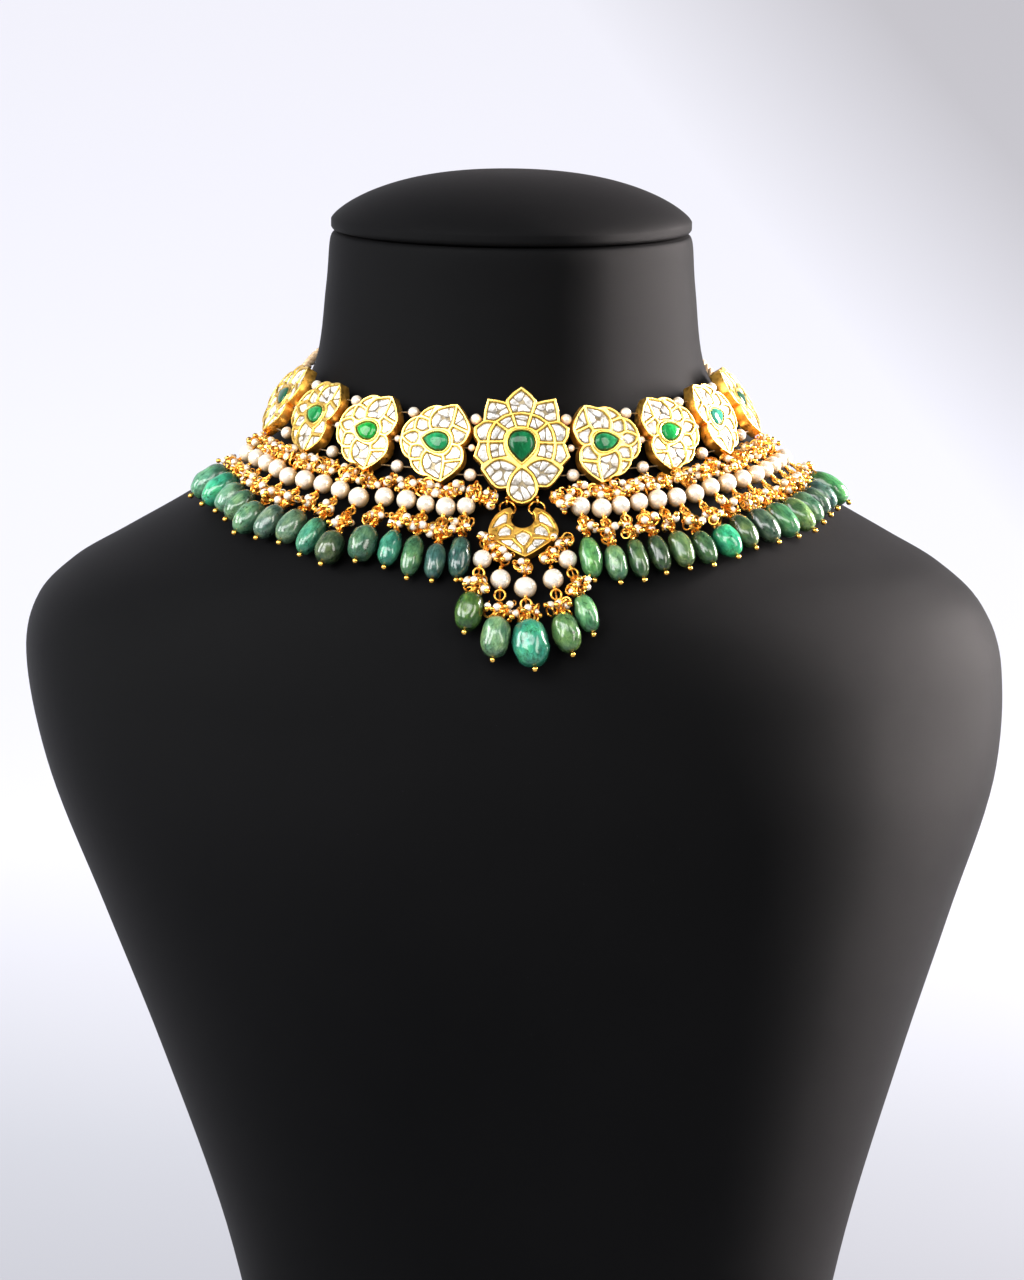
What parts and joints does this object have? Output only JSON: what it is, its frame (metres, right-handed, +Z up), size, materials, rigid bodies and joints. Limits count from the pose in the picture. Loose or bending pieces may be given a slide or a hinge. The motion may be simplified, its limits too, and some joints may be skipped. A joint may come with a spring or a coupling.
{
  "type": "polki necklace on neck bust",
  "caption": "Kundan choker of polki flowers with emerald centres, a crescent pendant and a fringe of pearls and emerald beads, on a plain black neck bust.",
  "frame": {"origin": "on the flat underside of the bust, below the axis of the neck", "axes": "+Z up along the neck, -Y the way the bust and the necklace face, +X towards the right-hand side of the picture"},
  "size_m": [0.2942, 0.176, 0.38],
  "materials": {
    "satin": "black satin, tightly stretched",
    "gold": "polished yellow gold",
    "polki": "uncut diamond over silver foil",
    "emerald": "clear green, polished",
    "emerald_bead": "tumbled, waxy polish",
    "pearl": "pearl lustre",
    "cord": "wound gold thread"
  },
  "bodies": {
    "root": {"neck_bust": "satin", "bust_cap": "satin", "setting_center": "gold", "setting_l1": "gold", "setting_l2": "gold", "setting_l3": "gold", "setting_l4": "gold", "setting_r1": "gold", "setting_r2": "gold", "setting_r3": "gold", "setting_r4": "gold", "crescent_setting": "gold", "polki_center": "polki", "polki_l1": "polki", "polki_l2": "polki", "polki_l3": "polki", "polki_l4": "polki", "polki_r1": "polki", "polki_r2": "polki", "polki_r3": "polki", "polki_r4": "polki", "polki_crescent": "polki", "emerald_center": "emerald", "emerald_l1": "emerald", "emerald_l2": "emerald", "emerald_l3": "emerald", "emerald_l4": "emerald", "emerald_r1": "emerald", "emerald_r2": "emerald", "emerald_r3": "emerald", "emerald_r4": "emerald", "spacer_pearls": "pearl", "row_threads": "cord", "fringe_pearls_left": "pearl", "fringe_pearls_right": "pearl", "fringe_emeralds_left": "emerald_bead", "fringe_emeralds_right": "emerald_bead", "fringe_links_left": "gold", "fringe_links_right": "gold", "pendant_pearls": "pearl", "pendant_links": "gold", "pendant_emerald_1": "emerald_bead", "pendant_emerald_2": "emerald_bead", "pendant_emerald_3": "emerald_bead", "pendant_emerald_4": "emerald_bead", "pendant_emerald_5": "emerald_bead", "neck_cord": "cord", "cord_clasp": "gold"}
  },
  "joints": []
}
